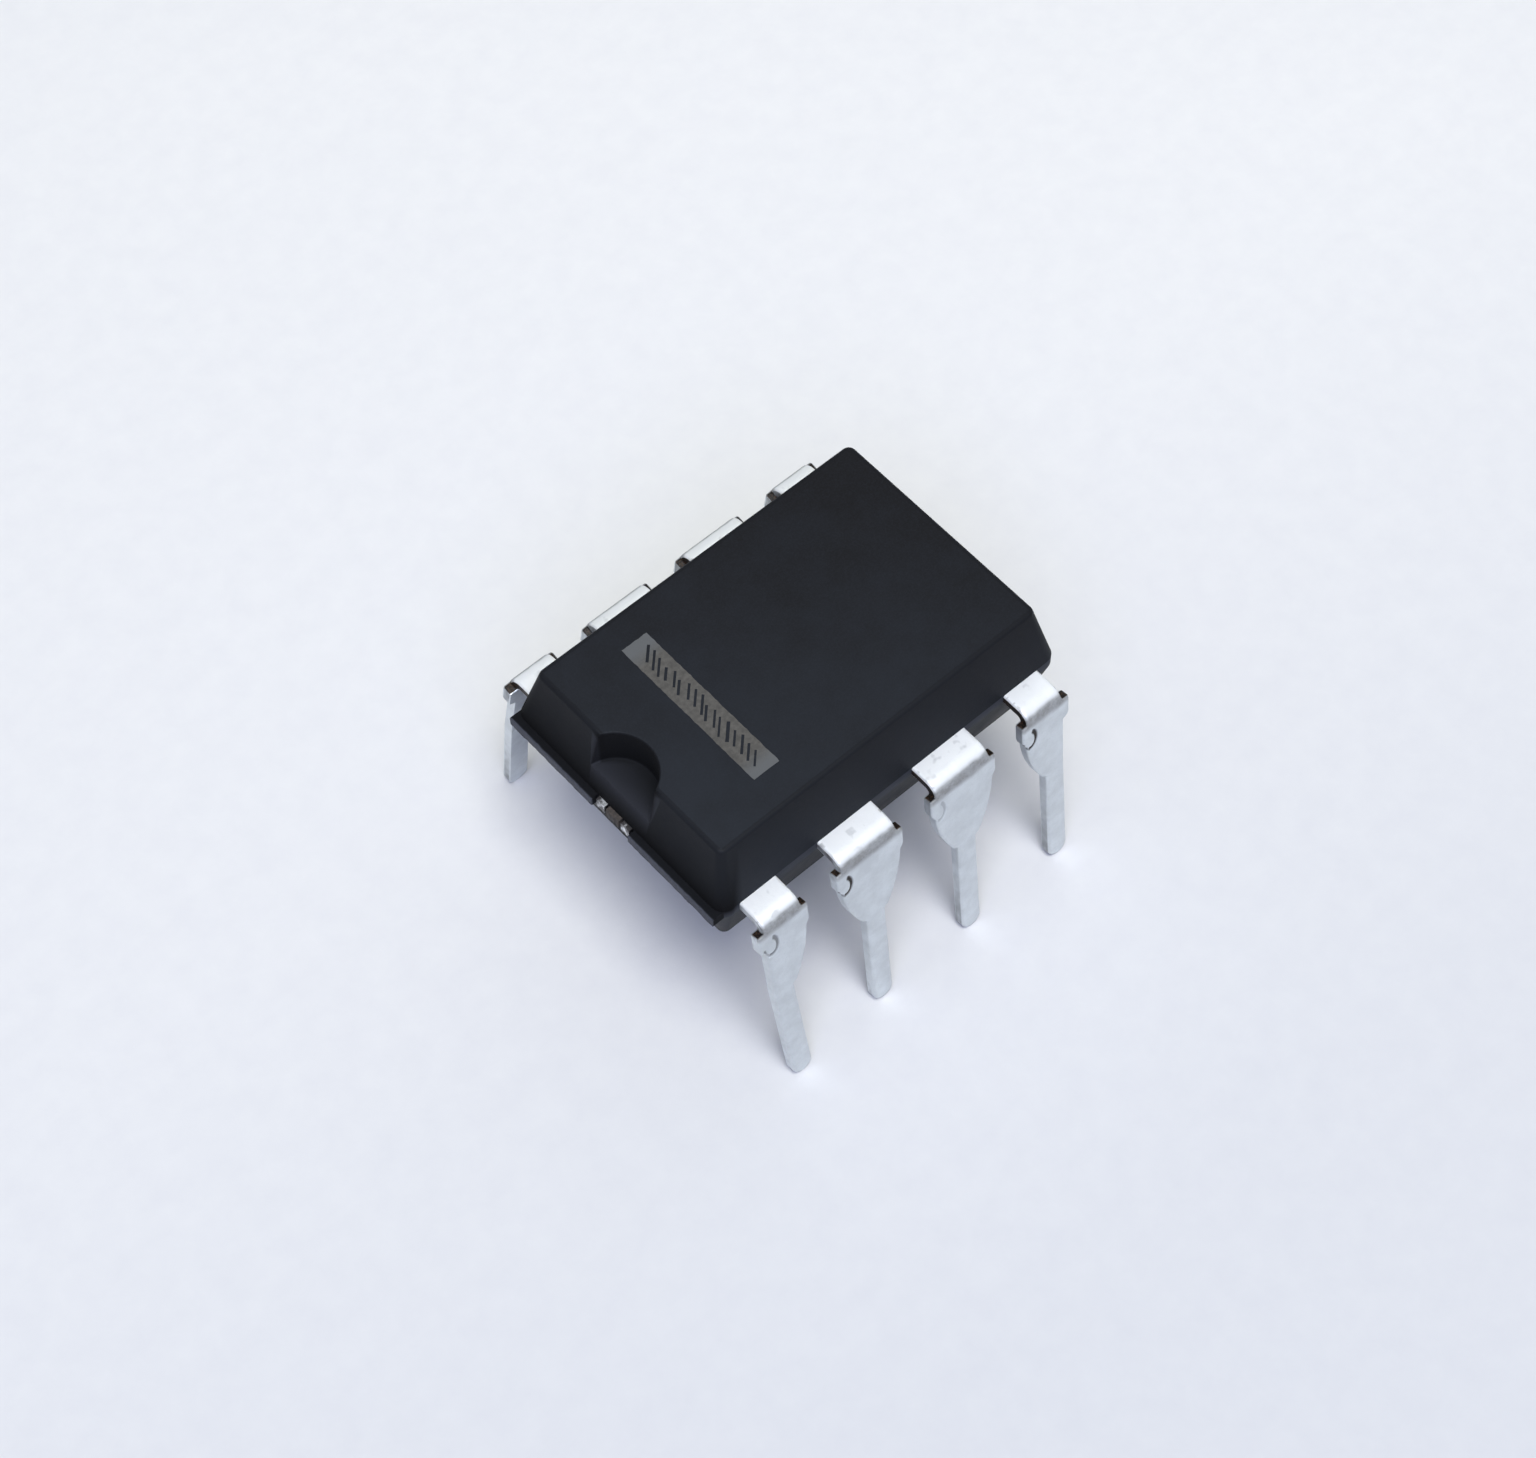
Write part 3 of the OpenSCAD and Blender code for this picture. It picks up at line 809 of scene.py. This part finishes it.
def mark_relief(lead, pts, mark):
    """How much of each point is in the punch mark's groove and on the bulge in its middle."""
    away = (pts - mark) / MARK_R
    dist = np.hypot(away[:, 0], away[:, 1])
    angle = np.degrees(np.arctan2(away[:, 1], -away[:, 0] * lead.side))
    swing = np.clip((135 - np.abs(angle - 58)) / 20, 0, 1)
    width = 0.38 - 0.16 * np.clip((angle + 50) / 160, 0, 1)
    groove = np.clip(2 - 2 * np.abs(dist - 1) / width, 0, 1) * swing
    return groove, np.clip(1 - dist / 0.8, 0, 1) ** 0.7


def top_height(lead, pts, d, groove, bulge):
    """Height of the upper face: rounded rims, slight ripples and the punch mark."""
    i = lead.i
    top = LEAD_T - RIM_TOP + rounding(d, RIM_TOP)
    for k, (u, q) in enumerate(pts):
        if d[k] > RIM_TOP:
            ripple = 0.004 * wobble(u, q, i, 3, i) + 0.0025 * wobble(u, q, i, 9, 2 * i)
            top[k] += min(0, ripple) - 0.03 * groove[k] + 0.012 * bulge[k]
    return top


def top_dirt(lead, pts, d, groove):
    """Dirt on the upper face: in the punch mark, and in nicks along the shoulder's rim."""
    dirt = PUNCH[lead.i - 1] * groove * np.where(d > RIM_TOP, 1, 0.7)
    for k, (u, q) in enumerate(pts):
        if d[k] < 0.075 and FACE_Q < q < lead.bend_end * 0.4:
            nick = np.clip((wobble(u, q, 0, 8, 4 * lead.i) - 0.25) / 0.2, 0, 1)
            dirt[k] = max(dirt[k], 0.32 * nick)
    return dirt


def side_dirt_and_shade(lead, u, q, bare_and_shade, level):
    """Darkening of the cut side, in patches: dirt on stubs and tip, painted shade on the shoulder's
    side walls; or dirt all over the sheared step above a stub.
    """
    if q <= -0.5:
        return 0.0
    if bare_and_shade < 1:
        patch = DIRT_AND_SHADE[lead.i - 1] + 0.45 * wobble(u, q, level, 5, lead.i)
    else:
        patch = 0.6 if u * lead.side > 0 else 1.0
    return bare_and_shade * min(max(patch, 0.0), 1.0)


def bend_dulling_and_painted_light(lead, pts):
    """How dull each point of the upper face is from bending and under painted shade, and how much it
    takes the shoulder's painted highlight.
    """
    i = lead.i
    bent, flat = [], []
    for u, q in pts:
        along = q / lead.bend_end
        rise = np.clip((along - 0.42 + 0.05 * wobble(u, q, i, 5, 3 * i)) / 0.16, 0, 1)
        fall = np.clip((1.3 - along + 0.1 * wobble(u, q, i, 3, i)) / 0.4, 0, 1)
        bent.append(rise * fall)
        flat.append(1 - rise if q < lead.bend_end else 0.0)
    return bent, flat


# Formed leads
def lead_wall(lead, poly, rim, verts, faces, bare_and_shade):
    """Adds the cut side, three rows of points between the rims of the lower and upper face."""
    n, m = len(poly), len(verts) // 2
    rows = []
    for level in (0.05, 0.5, 0.95):
        rows.append(len(verts))
        for u, q, b in poly:
            verts.append(lead.place(u, q, RIM_LOW + (LEAD_T - RIM_TOP - RIM_LOW) * level))
            bare_and_shade.append(side_dirt_and_shade(lead, u, q, b, level))
    for k in range(n):
        here, there = ([m + rim[j], *(row + j for row in rows), rim[j]] for j in (k, (k + 1) % n))
        for a in range(len(rows) + 1):
            faces.append((here[a], there[a], there[a + 1], here[a + 1]))


def formed_lead(i):
    lead = Lead(i)
    poly, mark = lead_outline(lead), punch_mark(lead)
    inner = np.concatenate([rim_rows(poly), face_points(lead, poly, mark)])
    pts, tris, rim = triangulate(poly, inner)
    d = distance_to(pts, poly)
    groove, bulge = mark_relief(lead, pts, mark)
    top = top_height(lead, pts, d, groove, bulge)
    low = RIM_LOW - rounding(d, RIM_LOW)
    verts = [lead.place(u, q, w) for (u, q), w in zip(pts, top)]
    verts += [lead.place(u, q, w) for (u, q), w in zip(pts, low)]

    bare_and_shade = top_dirt(lead, pts, d, groove).tolist() + [0.0] * len(pts)
    for k, (u, q, b) in enumerate(poly):
        if b > 0.93:
            bare_and_shade[rim[k]] = max(bare_and_shade[rim[k]], 0.6 if u * lead.side > 0 else 1.0)

    faces = []
    for t in tris:
        faces.append(tuple(t))
        faces.append(tuple(len(pts) + k for k in reversed(t)))
    lead_wall(lead, poly, rim, verts, faces, bare_and_shade)
    bent, flat = bend_dulling_and_painted_light(lead, pts)
    rest = [0.0] * (len(verts) - len(pts))
    wear_and_painted_light = {"bare_and_shade": bare_and_shade, "bent": bent + rest, "flat": flat + rest}
    obj = make(f"formed_lead_{i}", verts, faces, TIN, "tinned_lead", 40, **wear_and_painted_light)
    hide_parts(f"lead_{i}")


# Marking
def bar_outline(rng):
    """The bar's outline, a little ragged."""
    (x0, x1), (y0, y1) = BAR_X, BAR_Y
    return [
        (x + rng.uniform(-BAR_RAGGED, BAR_RAGGED), y + rng.uniform(-BAR_RAGGED, BAR_RAGGED))
        for x, y in densify([(x0, y0), (x1, y0), (x1, y1), (x0, y1)], 0.08)
    ]


def bar_slits(rng):
    """Short slanting slits, one after the other along the bar."""
    slits = []
    y = BAR_Y[0] + BAR_MARGIN
    while y < BAR_Y[1] - BAR_MARGIN:
        half, w = rng.uniform(0.11, 0.17), rng.uniform(0.016, 0.026)
        x = sum(BAR_X) / 2 + rng.uniform(-0.05, 0.05)
        corners = ((-1, -1), (1, -1), (1, 1), (-1, 1))
        slits.append([(x + a * half + b * w, y + a * half - b * w) for a, b in corners])
        y += rng.uniform(0.19, 0.21)
    return slits


def laser_bar():
    """A plain bar on the top face next to the notch: a solid border round slanting slits."""
    rng = random.Random(5)
    outer = bar_outline(rng)
    slits = bar_slits(rng)
    points, edges = [], []
    for loop in (outer, *slits):
        n = len(points)
        points += [Vector(p) for p in loop]
        edges += [(n + k, n + (k + 1) % len(loop)) for k in range(len(loop))]
    res = delaunay_2d_cdt(points, edges, [], 0, MERGE, True)
    pts, tris = np.array([tuple(v) for v in res[0]]), np.array(res[2])
    middles = pts[tris].mean(1)
    keep = inside_of(middles, outer)
    for loop in slits:
        keep &= ~inside_of(middles, loop)
    tris = tris[keep].tolist()
    m = len(pts)
    verts = [(x, y, z) for z in (BODY_TOP + BAR_PROUD, BODY_TOP - BAR_SUNK) for x, y in pts]
    faces = [tuple(t) for t in tris] + [tuple(m + k for k in reversed(t)) for t in tris]
    ends = {(t[k], t[(k + 1) % 3]) for t in tris for k in range(3)}
    faces += [(a, b, b + m, a + m) for a, b in ends if (b, a) not in ends]
    make("laser_bar", verts, faces, MARK, "mould_compound")


# Paper, light and camera
CEILING, WALL = (0.27, 0.30, 0.31, 1.0), (0.13, 0.145, 0.155, 1.0)
WALL_DIM = (0.10, 0.10, 0.10, 1.0)
BACKDROP = srgb(228, 233, 241)
# Half the paper's width, and how far out it begins and ends to fade into the backdrop
PAPER_HALF, FADE_FROM, FADE_TO = 600, 26, 60
# Distance and aim of the lamps; each one's azimuth, tilt from overhead, width, power and colour
LAMP_R, LAMP_AIM = 300, Vector((0, 0, 3))
LAMPS = {
    "window": (244, 15.5, 130, 0.57, (0.99, 1.0, 0.89)),
    "sky": (233, 33, 250, 0.42, (0.75, 0.82, 1.30)),
    "glow": (44, 30, 150, 0.03, (1.0, 0.98, 0.95)),
}
# The camera, fitted to the photo: turns in degrees, distance, and aim with its shift left and down
CAM_AZIMUTH, CAM_ELEVATION, CAM_ROLL = -41.077, 58.803, -0.660
CAM_R, CAM_AIM, CAM_LEFT, CAM_DOWN = 68.419, Vector((SHIFT - 0.1, 0, 4.0)), 0.329, 0.020
LENS, SENSOR, CLIP_NEAR, CLIP_FAR = 77.5, 36.0, 1, 10000


def paper_stock():
    """Pale paper with painted shade, a little dimmer towards the camera, that fades to the backdrop
    far out.
    """
    m = Material("paper")
    tone = m.mix(m.spread(m.noise(1.4, 4), 0, 1), srgb(233, 231, 229), srgb(237, 235, 232))
    # Painted shade: the paper darkens to a bluish grey towards -x -y and the near side, standing in
    # for the light falling off
    diagonal = m.math("ADD", m.axis(0), m.axis(1))
    near = m.span(m.axis(1), -12 * MM, 5 * MM, 0.1, 0)
    painted_falloff = m.math("ADD", m.span(diagonal, -30 * MM, 30 * MM, 0.2, 0), near)
    m.set(colour=m.mix(painted_falloff, tone, srgb(116, 126, 150)), rough=0.9, level=0.1)
    m.bump((m.noise(5, 4), 0.004))
    reach = m.new("ShaderNodeVectorMath")
    reach.operation = "LENGTH"
    m.link(m.coord, reach.inputs[0])
    haze = m.new("ShaderNodeEmission")
    haze.inputs["Color"].default_value = BACKDROP
    away = m.span(reach.outputs["Value"], FADE_FROM * MM, FADE_TO * MM, 0, 1)
    fade = m.math("MULTIPLY", m.direct_rays(), away)
    m.link(m.blend(fade, m.shader.outputs[0], haze.outputs[0]), m.out.inputs[0])
    return m.mat


def paper():
    s = PAPER_HALF
    obj = raw("paper", [(-s, -s, 0), (s, -s, 0), (s, s, 0), (-s, s, 0)], [(0, 1, 2, 3)])
    obj.data.materials.append(paper_stock())


def area_light(name, azimuth, tilt, width, power, colour):
    a, t = math.radians(azimuth), math.radians(tilt)
    data = bpy.data.lights.new(name, "AREA")
    data.shape, data.size, data.energy, data.color = "DISK", width * MM, power, colour
    obj = link_object(name, data)
    away = Vector((math.sin(t) * math.cos(a), math.sin(t) * math.sin(a), math.cos(t)))
    obj.location = LAMP_R * MM * away
    obj.rotation_euler = (LAMP_AIM * MM - obj.location).to_track_quat("-Z", "Y").to_euler()


def world():
    """A pale room that lights the chip: bright overhead, dimmer walls, dimmest towards -y.

    The eye, reflections and looks through glass meet the backdrop's one colour in its place.
    """
    room = bpy.data.worlds.new("room")
    bpy.context.scene.world = room
    room.use_nodes = True
    n = Nodes(room.node_tree, "Generated")
    walls = n.mix(n.span(n.axis(1), -0.9, 0.3, 0, 1), WALL_DIM, WALL)
    light = n.mix(n.span(n.axis(2), 0.15, 0.75, 0, 1), walls, CEILING)
    shades = []
    for colour in (light, BACKDROP):
        back = n.new("ShaderNodeBackground")
        n.put(colour, back.inputs[0])
        shades.append(back.outputs[0])
    out = n.new("ShaderNodeOutputWorld")
    n.link(n.blend(n.direct_rays(), *shades), out.inputs[0])


def camera():
    data = bpy.data.cameras.new("camera")
    data.lens, data.sensor_width = LENS, SENSOR
    data.clip_start, data.clip_end = CLIP_NEAR * MM, CLIP_FAR * MM
    obj = link_object("camera", data)
    a, e, roll = (math.radians(v) for v in (CAM_AZIMUTH, CAM_ELEVATION, CAM_ROLL))
    back = Vector((math.sin(a) * math.cos(e), -math.cos(a) * math.cos(e), math.sin(e)))
    right = Vector((math.cos(a), math.sin(a), 0))
    up = back.cross(right)
    position = CAM_AIM - CAM_LEFT * right - CAM_DOWN * up + back * CAM_R
    rolled_right = right * math.cos(roll) + up * math.sin(roll)
    rolled_up = up * math.cos(roll) - right * math.sin(roll)
    axes = Matrix((rolled_right, rolled_up, back)).transposed()
    obj.matrix_world = Matrix.Translation(position * MM) @ axes.to_4x4()
    bpy.context.scene.camera = obj


# Build
moulded_body()
end_flash()
for i in range(1, LEAD_COUNT + 1):
    formed_lead(i)
laser_bar()
inside = {"die_paddle": ALLOY, "die_attach": ADHESIVE, "die": SILICON}
inside.update({f"bond_wire_{i}": GOLD for i in range(1, LEAD_COUNT + 1)})
for node, material in inside.items():
    data = frame["nodes"][node].data
    data.materials.clear()
    data.materials.append(material)

paper()
world()
for name, lamp in LAMPS.items():
    area_light(name, *lamp)
camera()
bpy.context.scene.view_settings.view_transform = "Standard"
